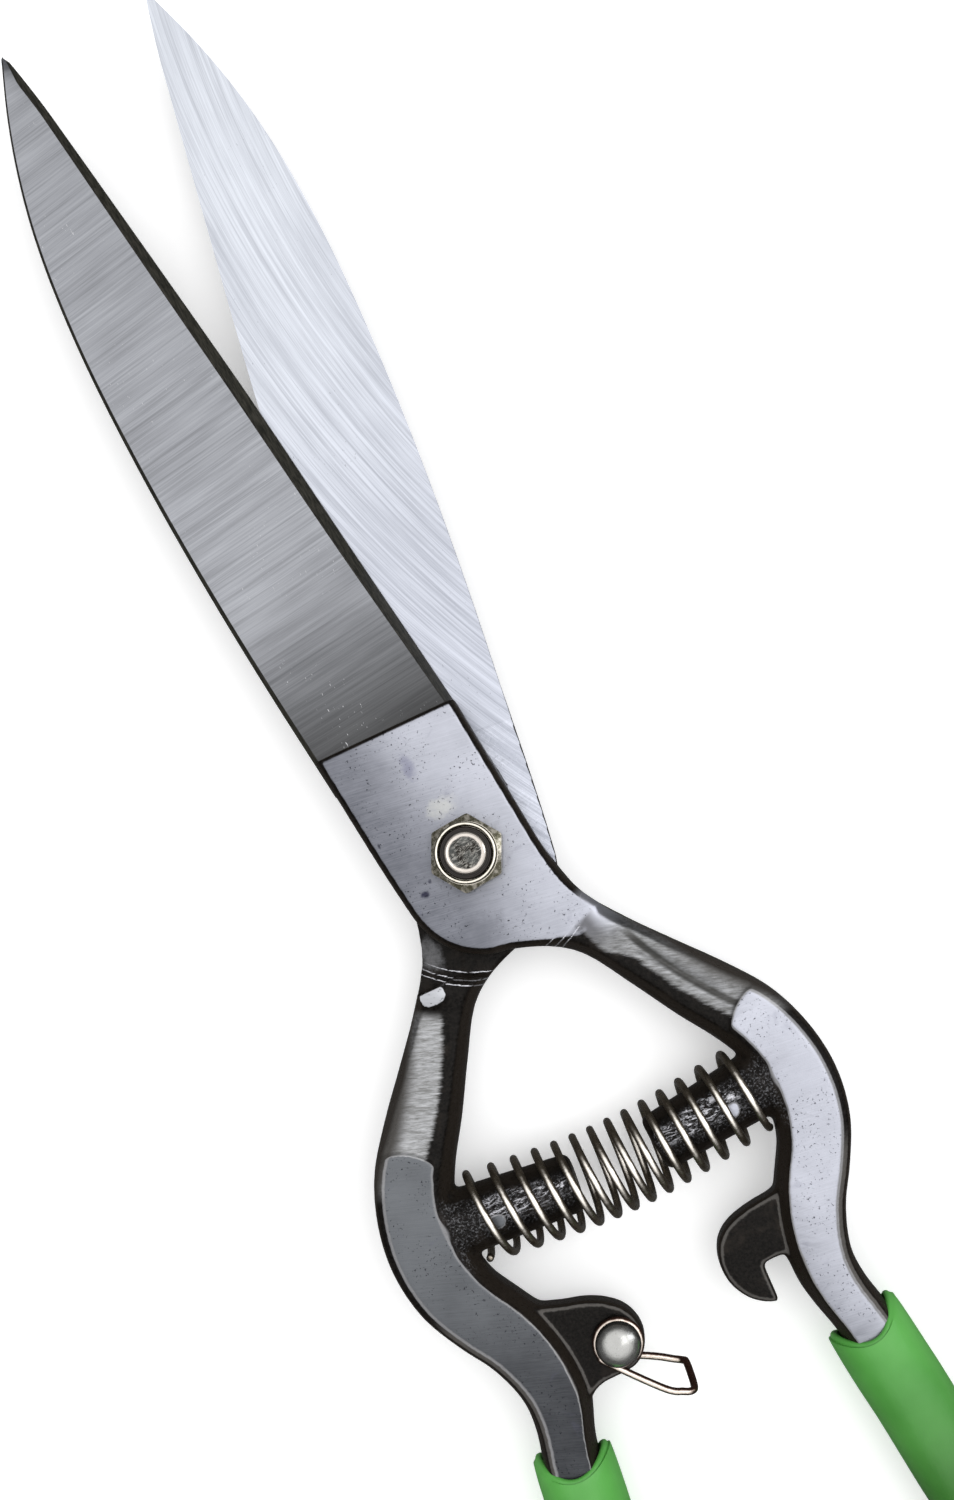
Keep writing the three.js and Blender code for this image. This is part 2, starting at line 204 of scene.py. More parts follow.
def spline(points, count):
    """Points evenly along a Catmull-Rom curve through the given ones."""
    ends = [2 * points[0] - points[1], *points, 2 * points[-1] - points[-2]]
    fine = []
    for k in range(1, len(ends) - 2):
        a, b, c, d = ends[k - 1: k + 3]
        for s in np.linspace(0, 1, 24, endpoint=False):
            fine.append(0.5 * (2 * b + (c - a) * s + (2 * a - 5 * b + 4 * c - d) * s * s
                               + (3 * b - a - 3 * c + d) * s ** 3))
    fine.append(ends[-2])
    fine = np.array(fine)
    steps = np.linalg.norm(np.diff(fine, axis=0), axis=1)
    along = np.concatenate([[0], np.cumsum(steps)])
    want = np.linspace(0, along[-1], count)
    return np.stack([np.interp(want, along, fine[:, k]) for k in range(fine.shape[1])], 1)


def tube(name, path, radius, sides=14):
    """A round wire along the path, with rounded ends."""
    path = [Vector(p) for p in path]
    tangents = []
    for k in range(len(path)):
        tangents.append((path[min(k + 1, len(path) - 1)] - path[max(k - 1, 0)]).normalized())
    across = tangents[0].orthogonal().normalized()
    rings = []
    for k, (p, t) in enumerate(zip(path, tangents)):
        across = (across - t * across.dot(t)).normalized()
        up = t.cross(across)
        turns = [2 * math.pi * j / sides for j in range(sides)]
        ring = [(across * math.cos(a) + up * math.sin(a)) * radius for a in turns]
        if k == 0:
            rings.append([p + r * 0.6 - t * radius * 0.35 for r in ring])
        rings.append([p + r for r in ring])
        if k == len(path) - 1:
            rings.append([p + r * 0.6 + t * radius * 0.35 for r in ring])
    return lofted(name, rings)


def place(mesh, matrix):
    mesh.transform(matrix)
    mesh.update()
    return mesh


def finish_piece(name, mesh, material, body, nodes=()):
    """Makes the mesh a named piece that rides on a body and stands for CAD nodes."""
    piece = add_object(name, mesh)
    mesh.name = name
    mesh.materials.clear()
    for one in material if isinstance(material, list) else [material]:
        mesh.materials.append(one)
    if body:
        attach(piece, body)
    if nodes:
        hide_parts(*nodes)
    return piece


def smoothstep(x, low, high):
    t = np.clip((np.asarray(x, dtype=float) - low) / (high - low), 0, 1)
    return t * t * (3 - 2 * t)


# ------------------------------------------------------------------ material helpers
class Paint:
    """Builds one node material; its methods return sockets that feed each other."""

    def __init__(self, name):
        self.material = bpy.data.materials.new(name)
        self.material.use_nodes = True
        self.tree = self.material.node_tree
        self.shader = self.tree.nodes["Principled BSDF"]
        where = self.node("ShaderNodeTexCoord")
        self.normal = where.outputs["Normal"]
        self.mm = self.mapped(where.outputs["Object"], (1 / MM,) * 3)

    def node(self, kind, **settings):
        made = self.tree.nodes.new(kind)
        for key, value in settings.items():
            setattr(made, key, value)
        return made

    def feed(self, socket, value):
        if isinstance(value, bpy.types.NodeSocket):
            self.tree.links.new(value, socket)
        elif isinstance(value, (tuple, list)) and socket.type == "RGBA":
            socket.default_value = (*value, 1)[:4]
        else:
            socket.default_value = value

    def maths(self, operation, a, b=0.0, clamp=False):
        made = self.node("ShaderNodeMath", operation=operation, use_clamp=clamp)
        for socket, value in zip(made.inputs, (a, b)):
            self.feed(socket, value)
        return made.outputs[0]

    def times(self, first, *others):
        for other in others:
            first = self.maths("MULTIPLY", first, other)
        return first

    def plus(self, first, *others):
        for other in others:
            first = self.maths("ADD", first, other)
        return first

    def minus(self, a, b):
        return self.maths("SUBTRACT", a, b)

    def apart(self, a, b):
        return self.maths("ABSOLUTE", self.minus(a, b))

    def length(self, x, y):
        return self.maths("SQRT", self.plus(self.times(x, x), self.times(y, y)))

    def most(self, first, *others):
        for other in others:
            first = self.maths("MAXIMUM", first, other)
        return first

    def step(self, value, low, high, out_low=0.0, out_high=1.0):
        made = self.node("ShaderNodeMapRange", interpolation_type="SMOOTHSTEP")
        for key, given in zip(("Value", "From Min", "From Max", "To Min", "To Max"),
                              (value, low, high, out_low, out_high)):
            self.feed(made.inputs[key], given)
        return made.outputs[0]

    def split(self, vector):
        made = self.node("ShaderNodeSeparateXYZ")
        self.feed(made.inputs[0], vector)
        return made.outputs

    def join(self, x, y, z=0.0):
        made = self.node("ShaderNodeCombineXYZ")
        for socket, value in zip(made.inputs, (x, y, z)):
            self.feed(socket, value)
        return made.outputs[0]

    def mapped(self, vector, scale=(1, 1, 1), turn=0.0, shift=(0, 0, 0)):
        made = self.node("ShaderNodeMapping")
        self.feed(made.inputs["Vector"], vector)
        made.inputs["Scale"].default_value = scale
        made.inputs["Rotation"].default_value = (0, 0, turn)
        made.inputs["Location"].default_value = shift
        return made.outputs[0]

    def noise(self, vector, scale, detail=3.0, roughness=0.5, distortion=0.0):
        made = self.node("ShaderNodeTexNoise")
        self.feed(made.inputs["Vector"], vector)
        made.inputs["Scale"].default_value = scale
        made.inputs["Detail"].default_value = detail
        made.inputs["Roughness"].default_value = roughness
        made.inputs["Distortion"].default_value = distortion
        return made.outputs["Fac"]

    def swing(self, noise, amount):
        """The noise moved to either side of zero, to be added to something."""
        return self.times(self.minus(noise, 0.5), amount)

    def mixed(self, kind, factor, a, b, first_socket, result):
        made = self.node("ShaderNodeMix", data_type=kind)
        for socket, value in ((0, factor), (first_socket, a), (first_socket + 1, b)):
            self.feed(made.inputs[socket], value)
        return made.outputs[result]

    def mix(self, factor, a, b):
        """Mixes two colours."""
        return self.mixed("RGBA", factor, a, b, 6, 2)

    def blend(self, factor, a, b):
        """Mixes two numbers."""
        return self.mixed("FLOAT", factor, a, b, 2, 0)

    def pick(self, factor, a, b):
        """Mixes two normals."""
        return self.mixed("VECTOR", factor, a, b, 4, 1)

    def bump(self, height, distance, strength=1.0, over=None):
        made = self.node("ShaderNodeBump")
        made.inputs["Strength"].default_value = strength
        self.feed(made.inputs["Distance"], distance)
        self.feed(made.inputs["Height"], height)
        if over is not None:
            self.feed(made.inputs["Normal"], over)
        return made.outputs[0]

    def set(self, **values):
        names = {"colour": "Base Color", "metal": "Metallic", "rough": "Roughness",
                 "normal": "Normal", "specular": "Specular IOR Level"}
        for key, value in values.items():
            self.feed(self.shader.inputs[names[key]], value)
        return self.material


def grinding(p, across, along):
    """Fine, wide and broad marks that follow the given coordinates."""
    marks = []
    for fineness, length, detail in ((1.5, 0.012, 6), (0.35, 0.02, 3), (0.05, 0.03, 2)):
        where = p.join(p.times(across, fineness), p.times(along, length))
        marks.append(p.noise(where, 1.0, detail, 0.8))
    return marks


def joint_face(p):
    """Colour and fine marks of the flat faces that slide on each other.

    The marks are circles about one point, far out beyond the rear blade's back."""
    x, y, _ = p.split(p.mm)
    dx = p.minus(x, ARC_CENTRE[0])
    dy = p.minus(y, ARC_CENTRE[1])
    around = p.times(p.maths("ARCTAN2", dy, p.times(dx, -1)), ARC_RADIUS)
    fine, wide, broad = grinding(p, p.length(dx, dy), around)
    shade = p.plus(p.times(fine, 0.75), p.times(wide, 0.2), p.times(broad, 0.1))
    tone = p.step(shade, 0.38, 0.66)
    low = p.mix(tone, (0.32, 0.335, 0.385), (0.57, 0.59, 0.66))
    tip = p.mix(tone, (0.46, 0.48, 0.53), (0.74, 0.77, 0.83))
    return p.mix(p.step(y, 20, 150), low, tip), fine


def nicked(p, colour, strength, tone):
    """The colour with short nicks of another tone in some areas."""
    field = p.noise(p.mapped(p.mm, (2.2, 0.8, 1), 0.7), 1.3, 2, 0.5)
    area = p.noise(p.mm, 0.06, 2, 0.5)
    nicks = p.times(p.step(field, 0.7, 0.73), p.step(area, 0.5, 0.6))
    return p.mix(p.times(nicks, strength), colour, tone)


def spot_on(p, at, reach):
    """1 in the middle of a ragged oval spot, 0 outside it."""
    x, y, _ = p.split(p.mm)
    dx = p.maths("DIVIDE", p.minus(x, at[0]), reach[0])
    dy = p.maths("DIVIDE", p.minus(y, at[1]), reach[1])
    ragged = p.noise(p.join(x, y), 0.55, 4, 0.7)
    gap = p.plus(p.times(dx, dx), p.times(dy, dy), p.swing(ragged, 2.2))
    return p.step(gap, 1.1, -0.1)


def scored(p, distance, at, width):
    """1 on a thin line where the distance has a given value."""
    return p.step(p.apart(distance, at), width, width * 0.4)


class LimbPaint(Paint):
    """Paint for a limb: `side` is -1 for the one turned over, so own_x fits both alike."""

    def __init__(self, name, side):
        super().__init__(name)
        self.side = side
        self.x, self.y, z = self.split(self.mm)
        self.own_x = self.times(self.x, side)
        self.high = self.apart(z, MID / MM)
        self.grain = self.noise(self.mm, 1.6, 5, 0.65)
        slanted = self.mapped(self.mapped(self.mm, turn=0.35), (0.35, 2.2, 1))
        self.streaks = self.noise(slanted, 0.9, 5, 0.75, 0.3)


def bare_steel(p, light, dark, shade_ramp, lines, spots):
    """Colour and pits of the ground faces: brush lines, clouds, a slow painted change from shade to
    light, and the spots given: stains and a painted shadow.

    The rear limb's face is freshly ground near the hub."""
    clouds = p.noise(p.mm, 0.09, 4, 0.6)
    # painted shade and light: a slow change from dark to light across the ground faces
    light_sweep = p.plus(p.times(p.x, shade_ramp[0]), p.times(p.y, shade_ramp[1]))
    wander = p.plus(p.swing(lines, 0.7), p.swing(clouds, 0.6))
    shade = p.maths("ADD", p.step(light_sweep, shade_ramp[2], shade_ramp[3], 0.12, 0.85), wander, clamp=True)
    colour = p.mix(shade, dark, light)
    for at, reach, strength, tone in spots:
        colour = p.mix(p.times(spot_on(p, at, reach), strength), colour, tone)
    if p.side < 0:
        fresh = p.mix(lines, (0.28, 0.285, 0.3), (0.5, 0.51, 0.54))
        colour = p.mix(p.step(p.y, -33, -27), colour, fresh)
    pit_field = p.noise(p.mapped(p.mm, (1, 1, 0.2)), 1.7, 3, 0.65)
    pit_area = p.noise(p.mm, 0.16, 3, 0.6)
    pits = p.times(p.step(pit_field, 0.615, 0.66), p.step(pit_area, 0.42, 0.54))
    colour = p.mix(p.times(pits, 0.85), colour, (0.015, 0.015, 0.02))
    smudge = p.step(p.noise(p.mapped(p.mm, shift=(7, 3, 0)), 0.16, 4, 0.6, 0.6), 0.6, 0.78)
    return p.mix(p.times(smudge, 0.3), colour, (0.10, 0.10, 0.15)), pits


def rubbed_ridge(p):
    """Where the bar between hub and handle is rubbed bright, where its flank is, its colour.

    `down` runs along the bar from the hub and `off` across it, bowed with the bar."""
    dx = p.minus(p.own_x, 19.5)
    dy = p.plus(p.y, 22)
    down = p.minus(p.times(dx, 0.509), p.times(dy, 0.861))
    bow = p.maths("DIVIDE", p.minus(down, 14.6), 14.6)
    off = p.plus(p.times(dx, 0.861), p.times(dy, 0.509), p.minus(1.4, p.times(bow, bow, 1.4)))
    inner_off = p.plus(off, p.swing(p.streaks, 2.0))
    if p.side > 0:
        inner_off = p.plus(inner_off, p.step(down, 9, 1, 0, 3.2))
    inside = p.step(inner_off, -3.4, -2.2)
    outside = p.step(off, 4.4, 1.2)
    start = p.step(down, -9, -5) if p.side > 0 else p.step(down, 1, 4)
    length = p.times(p.step(p.y, -53, -49), start)
    ridge = p.times(inside, outside, length, p.step(p.high, 2.0, 4.2))
    flank = p.times(inside, length, p.step(p.high, 0.5, 3.5))
    return ridge, flank, ridge_colour(p, down, off)


def ridge_colour(p, down, off):
    """Streaky rubbed steel; the front bar has painted shade in its hollow and a painted highlight
    across its neck, brightest at the hub.
    """
    colour = p.mix(p.step(p.streaks, 0.28, 0.74), (0.15, 0.15, 0.145), (0.44, 0.445, 0.46))
    if p.side < 0:
        return colour
    # painted shade in the front bar's hollow
    hollow = p.times(p.step(p.apart(off, -0.3), 1.1, 0.3), p.step(down, 1, 6))
    colour = p.mix(p.times(hollow, 0.85), colour, (0.05, 0.048, 0.044))
    # a painted highlight across the bar's neck at the hub, lighter towards one side
    neck = p.mix(p.step(off, -4.5, -1), (0.12, 0.12, 0.13), (0.44, 0.45, 0.5))
    return p.mix(p.step(down, 4, -3), p.mix(0.35, colour, (0, 0, 0)), neck)


def forged_skin(p, flank, lines):
    """Dark skin, with walls painted lighter by their tilt as painted light, painted highlights on
    the plate edges, and a brushed patch under the hub.
    """
    colour = p.mix(p.step(p.grain, 0.35, 0.75), (0.003, 0.0025, 0.002), (0.014, 0.012, 0.0105))
    coarse = p.noise(p.mm, 0.22, 4, 0.6)
    colour = p.mix(p.step(coarse, 0.5, 0.75), colour, (0.02, 0.016, 0.013))
    colour = p.mix(p.times(flank, 0.75), colour, (0.085, 0.08, 0.075))
    up = p.split(p.normal)[2]
    tilt = p.plus(p.maths("ABSOLUTE", up), p.swing(p.grain, 0.05))
    # walls painted lighter than the tops by how far they tilt: painted light
    wall = p.step(tilt, 0.9, 0.5)
    colour = p.mix(p.times(wall, 0.7), colour, (0.034, 0.027, 0.021))
    # a painted highlight along the plate edges, where the faces begin to tilt
    edge_highlight = p.times(p.step(tilt, 0.985, 0.95), p.step(tilt, 0.78, 0.88))
    on_plates = p.step(p.y, -76, -82)
    colour = p.mix(p.times(edge_highlight, on_plates, 0.55), colour, (0.16, 0.15, 0.14))
    if p.side < 0:
        patch = p.times(spot_on(p, (-15.2, -14), (2.6, 4.2)), 0.8)
        colour = p.mix(patch, colour, p.mix(lines, (0.05, 0.05, 0.052), (0.24, 0.24, 0.25)))
    return mottled_root(p, colour)


def mottled_root(p, colour):
    """The skin with painted glints, small light flecks, round the root of the stub."""
    on_root = p.times(p.step(p.own_x, 34.3, 33), p.step(p.high, 4, 5),
                      p.step(p.y, -56, -59), p.step(p.y, -73, -70))
    # light flecks standing in for glints on the rough root: painted highlights
    specks_and_glints = p.step(p.noise(p.mm, 2.2, 5, 0.75), 0.5, 0.66)
    return p.mix(p.times(specks_and_glints, on_root, 0.85), colour, (0.17, 0.17, 0.18))


def bright_scratches(p):
    """1 on the scratches where the spring rubs the stub, and on scored arcs at the step."""
    rub = p.noise(p.mapped(p.mm, (0.7, 2.2, 1), -0.1), 0.6, 5, 0.8, 0.8)
    on_stub = p.times(p.step(p.own_x, 28, 25), p.step(p.high, 4.4, 4.9),
                      p.step(p.apart(p.y, STUB_TOP_Y), 4, 2))
    rub = p.times(p.step(rub, 0.51, 0.59), on_stub)
    wavering = p.plus(p.length(p.x, p.y), p.swing(p.streaks, 0.8))
    arcs = p.most(*[scored(p, wavering, radius, width) for radius, width in SCORED_ARCS])
    arcs = p.times(arcs, p.step(p.streaks, 0.4, 0.5),
                   p.step(p.y, -14, -19), p.step(p.own_x, 22, 20))
    return p.most(rub, arcs)


def forged_steel(name, side, light, dark, shade_ramp, brush_turn, spots):
    """Dark forged skin whose ground faces and rubbed ridges show bare brushed steel.

    `shade_ramp` is (x share, y share, from, to): how far that sum of millimetres takes the ground
    faces from painted shade to painted light. `spots` are stains on them, and a painted shadow."""
    p = LimbPaint(name, side)
    lines = p.noise(p.mapped(p.mapped(p.mm, turn=brush_turn), (0.16, 4.2, 1)), 1.0, 5, 0.8)
    root = p.times(p.step(p.own_x, 34.3, 33.6), p.step(p.own_x, 27.5, 28.5),
                   p.step(p.apart(p.y, -64), 6, 5))
    off_root = p.minus(1, root)
    ground = p.times(p.step(p.plus(p.high, p.swing(p.grain, 0.02)), 6.07, 6.13), off_root)
    # a light line along the arris of the ground faces: a painted edge highlight
    arris = p.times(p.step(p.high, 5.94, 6.02), p.step(p.y, -24, -30), off_root)
    inner = p.times(p.step(p.high, 0.3, 0.2), p.step(p.y, -14, -10), p.step(p.own_x, 4, -2))

    bare, pits = bare_steel(p, light, dark, shade_ramp, lines, spots)
    ridge, flank, rubbed = rubbed_ridge(p)
    scratches = bright_scratches(p)
    joint, joint_marks = joint_face(p)
    forged = p.mix(scratches, forged_skin(p, flank, lines), (0.6, 0.6, 0.64))
    skin = p.mix(p.times(arris, 0.45), p.mix(ridge, forged, rubbed), (0.5, 0.5, 0.52))
    colour = p.mix(inner, p.mix(ground, skin, bare), joint)

    rough_skin = p.blend(ridge, p.step(p.grain, 0.3, 0.7, 0.25, 0.45), 0.36)
    rough = p.blend(ground, rough_skin, p.step(lines, 0.2, 0.8, 0.34, 0.46))
    skin_bump = p.bump(p.noise(p.mm, 1.1, 5, 0.6), p.blend(ridge, 0.3 * MM, 0.05 * MM), 0.6)
    marks = p.minus(p.blend(inner, lines, joint_marks), p.times(pits, 1.5))
    normal = p.pick(p.most(ground, inner), skin_bump, p.bump(marks, 0.03 * MM, 0.5))
    metal = p.blend(p.most(inner, ground, ridge, scratches), 0.25, 0.85)
    return p.set(colour=colour, metal=metal, rough=rough, normal=normal, specular=0.1)


def front_blade_face():
    """Mid-grey blade face, ground square across, darker towards the shoulder."""
    p = Paint("front_blade_face")
    x, y, _ = p.split(p.mapped(p.mm, turn=-math.radians(BLADE_LEAN["front_limb"])))
    fine, wide, broad = grinding(p, p.plus(y, p.times(x, y, -0.0012)), x)
    shade = p.plus(p.times(fine, 0.75), p.times(wide, 0.35), p.times(broad, 0.25))
    tone = p.step(shade, 0.45, 0.9)
    root = p.mix(tone, (0.024, 0.024, 0.024), (0.054, 0.054, 0.054))
    outer = p.mix(tone, (0.19, 0.195, 0.21), (0.395, 0.405, 0.435))
    colour = nicked(p, p.mix(p.step(y, 21, 72), root, outer), 0.6, (0.6, 0.6, 0.62))
    return p.set(colour=colour, metal=0.85, rough=p.step(fine, 0.2, 0.8, 0.32, 0.44),
                 normal=p.bump(fine, 0.02 * MM, 0.5))


def rear_blade_face():
    """Near-white joint face of the rear blade, with its arcs of grinding marks."""
    p = Paint("rear_blade_face")
    joint, fine = joint_face(p)
    colour = nicked(p, joint, 0.5, (0.1, 0.1, 0.12))
    return p.set(colour=colour, metal=0.85, rough=p.step(fine, 0.2, 0.8, 0.4, 0.5),
                 normal=p.bump(fine, 0.02 * MM, 0.5))


def dark_bevel():
    """The cutting bevel and the blade's back: painted dark, a painted reflection of dark
    surroundings, drawn lengthways.
    """
    p = Paint("blade_bevel")
    marks = p.noise(p.mapped(p.mm, (2.5, 0.3, 2.5)), 1.2, 4, 0.7)
    # painted reflection: the dark that a ground bevel shows from dark surroundings
    colour = p.mix(p.step(marks, 0.3, 0.75), (0.018, 0.018, 0.014), (0.075, 0.07, 0.055))
    return p.set(colour=colour, metal=0.5, rough=p.step(marks, 0.2, 0.8, 0.3, 0.45),
                 normal=p.bump(marks, 0.05 * MM, 0.5))


def plated_steel(name, bright, dull, highlight_tilt, rough=0.2, highlight_heights=None):
    """Plated fasteners and wire, with a painted highlight where they face up and painted shade on
    their sides.

    The last argument is the pair of heights off the joint plane over which the wire's painted
    highlight grows from faint to full."""
    p = Paint(name)
    blotch = p.noise(p.mm, 0.9, 4, 0.65)
    up = p.split(p.normal)[2]
    # painted highlight where the surface faces up, painted shade where it tilts away
    painted_highlight = p.step(p.plus(p.maths("ABSOLUTE", up), p.swing(blotch, 0.4)), highlight_tilt[0], highlight_tilt[1])
    # on wire the painted highlight is strongest where the coils stand farthest from the joint plane
    if highlight_heights:
        high = p.apart(p.split(p.mm)[2], MID / MM)
        painted_highlight = p.times(painted_highlight, p.step(high, highlight_heights[0], highlight_heights[1], 0.12, 1))
    specks_and_glints = p.step(p.noise(p.mm, 2.6, 3, 0.6), 0.62, 0.72)
    colour = p.mix(p.times(specks_and_glints, 0.35), p.mix(painted_highlight, dull, bright), (0.05, 0.045, 0.035))
    return p.set(colour=colour, metal=0.9, rough=p.step(blotch, 0.2, 0.8, rough, rough + 0.14),
                 normal=p.bump(p.noise(p.mm, 2.2, 4, 0.6), 0.05 * MM, 0.4))


def sheared_end():
    """The bolt's end: a bright rim round a torn, pitted face."""
    p = Paint("sheared_end")
    x, y, _ = p.split(p.mm)
    torn = p.noise(p.mapped(p.mapped(p.mm, turn=-0.2), (0.8, 1.9, 1)), 1.1, 6, 0.8, 1.2)
    face = p.mix(p.step(torn, 0.46, 0.62), (0.02, 0.017, 0.014), (0.5, 0.48, 0.44))
    grey = p.mix(p.step(p.noise(p.mm, 0.45, 2), 0.4, 0.6), face, (0.16, 0.17, 0.165))
    rim = p.step(p.plus(p.length(x, y), p.times(torn, 0.5)), 3.1, 3.35)
    colour = p.mix(rim, p.mix(0.45, face, grey), (0.62, 0.57, 0.52))
    torn_height = p.times(torn, p.minus(1, rim))
    return p.set(colour=colour, metal=0.85, rough=p.blend(rim, 0.42, 0.22),
                 normal=p.bump(torn_height, 0.25 * MM, 0.8))


def nylon():
    """The dark ring in the nut."""
    p = Paint("dark_nylon")
    cloud = p.noise(p.mm, 0.8, 3, 0.6)
    colour = p.mix(cloud, (0.008, 0.006, 0.005), (0.03, 0.022, 0.018))
    return p.set(colour=colour, metal=0.0, rough=0.5, normal=p.bump(cloud, 0.1 * MM, 0.4))


def vinyl():
    """Dipped vinyl: green, painted shade darker down the handle, the rear grip painted lighter,
    darker in clouds, with fine scuffs.
    """
    p = Paint("green_vinyl")
    x, y, _ = p.split(p.mm)
    cloud = p.step(p.noise(p.mm, 0.06, 3, 0.5), 0.3, 0.7)
    scuffs = p.noise(p.mapped(p.mm, (2.4, 0.25, 2.4), -0.15), 1.5, 4, 0.7)
    # painted shade darker down the handle, painted light on the rear grip
    rear_side = p.step(x, 10, -10)
    lit_share = p.maths("ADD", p.step(y, -170, -106), p.times(rear_side, 0.3), clamp=True)
    near = p.mix(cloud, (0.085, 0.36, 0.058), (0.118, 0.45, 0.083))
    far = p.mix(cloud, (0.02, 0.1, 0.008), (0.03, 0.13, 0.014))
    colour = p.mix(p.step(scuffs, 0.6, 0.8, 0, 0.3), p.mix(lit_share, far, near), (0.14, 0.42, 0.11))
    normal = p.bump(p.noise(p.mm, 0.35, 3, 0.5), 0.25 * MM, 0.35,
                    over=p.bump(scuffs, 0.03 * MM, 0.4))
    return p.set(colour=colour, metal=0.0, rough=p.step(scuffs, 0.3, 0.8, 0.36, 0.5),
                 specular=0.45, normal=normal)


# ------------------------------------------------------------------ limbs
def cut_limb(node):
    """The CAD limb without its blade and tang, in its own frame, closed where cut."""
    bm = bmesh.new()
    bm.from_mesh(frame["nodes"][node].data)
    bmesh.ops.remove_doubles(bm, verts=bm.verts, dist=1e-6)
    bmesh.ops.transform(bm, matrix=limb_matrix(node).inverted(), verts=bm.verts)
    for height, side in ((SHOULDER_Y, 1), (TANG_END_Y, -1)):
        geometry = bm.verts[:] + bm.edges[:] + bm.faces[:]
        bmesh.ops.bisect_plane(bm, geom=geometry, plane_co=(0, height, 0),
                               plane_no=(0, side, 0), clear_outer=True)
        rim = [edge for edge in bm.edges if edge.is_boundary]
        bmesh.ops.triangle_fill(bm, edges=rim, use_beauty=True)
    bmesh.ops.recalc_face_normals(bm, faces=bm.faces)
    mesh = bpy.data.meshes.new(node + "_cut")
    bm.to_mesh(mesh)
    bm.free()
    return mesh


def relaxed(points, edges, weight, rounds):
    """Points moved towards the mean of their neighbours, by weight, several times."""
    a, b = edges[:, 0], edges[:, 1]
    count = len(points)
    degree = np.bincount(np.concatenate([a, b]), minlength=count)[:, None]
    for _ in range(rounds):
        total = np.stack([
            np.bincount(a, points[b, k], count) + np.bincount(b, points[a, k], count)
            for k in range(3)
        ], 1)
        points = points + weight[:, None] * (total / degree - points)
    return points


def bump_field(points, size, seed):
    shift = Vector((seed * 17.3, seed * 5.1, seed * 9.7))
    return np.array([noise.noise(Vector(p) / size + shift) for p in points])


def along_line(points, start, end, width):
    """How near each point lies to a line in plan: 1 on it, falling off over the width."""
    start, end = np.array(start), np.array(end)
    run = end - start
    t = np.clip(((points[:, :2] - start) @ run) / (run @ run), 0, 1)
    gap = np.linalg.norm(points[:, :2] - start - t[:, None] * run, axis=1)
    return np.exp(-((gap / width) ** 2)) * smoothstep(t, 0, 0.15) * smoothstep(t, 1, 0.85)


def soft_cap(z, limit, reach):
    """Heights eased off over the reach towards a limit on both sides."""
    size = np.abs(z)
    over = np.maximum(size - (limit - reach), 0)
    eased = np.minimum(size, limit - reach) + reach * (1 - np.exp(-over / reach))
    return np.sign(z) * eased


def outline_gap(points, normals, side):
    """How far each point of one face lies from its outline, as a share of the eased reach."""
    x, y, z = points.T
    wall = (np.abs(normals[:, 2]) < 0.5) & (side * z > 0.8) & (side * z < 4.5)
    wall &= (y < SHOULDER_Y - 0.8) & (y > TANG_END_Y + 0.8)
    tree = kdtree.KDTree(int(wall.sum()))
    for index, (px, py, _) in enumerate(points[wall]):
        tree.insert((px, py, 0), index)
    tree.balance()
    gap = np.ones(len(points))
    outer_reach = EDGE_REACH + (OUTER_REACH - EDGE_REACH) * smoothstep(y, -36, -46)
    for index in np.nonzero(side * z > 3)[0]:
        nearest, _, distance = tree.find((x[index], y[index], 0))
        reach = outer_reach[index] if nearest[0] > x[index] else EDGE_REACH
        gap[index] = min(distance / reach, 1)
    return gap


def eased_edges(points, normals):
    """Heights with the outer part of both faces rounded down towards the outline."""
    z = points[:, 2].copy()
    for side in (1, -1):
        gap = outline_gap(points, normals, side)
        limit = HALF_THICK - EDGE_DROP * (1 - gap) ** 2
        high = np.minimum(side * z, HALF_THICK)
        share = (limit - 3) / (HALF_THICK - 3)
        z = np.where(side * z > 3, side * (3 + (high - 3) * share), z)
    return z


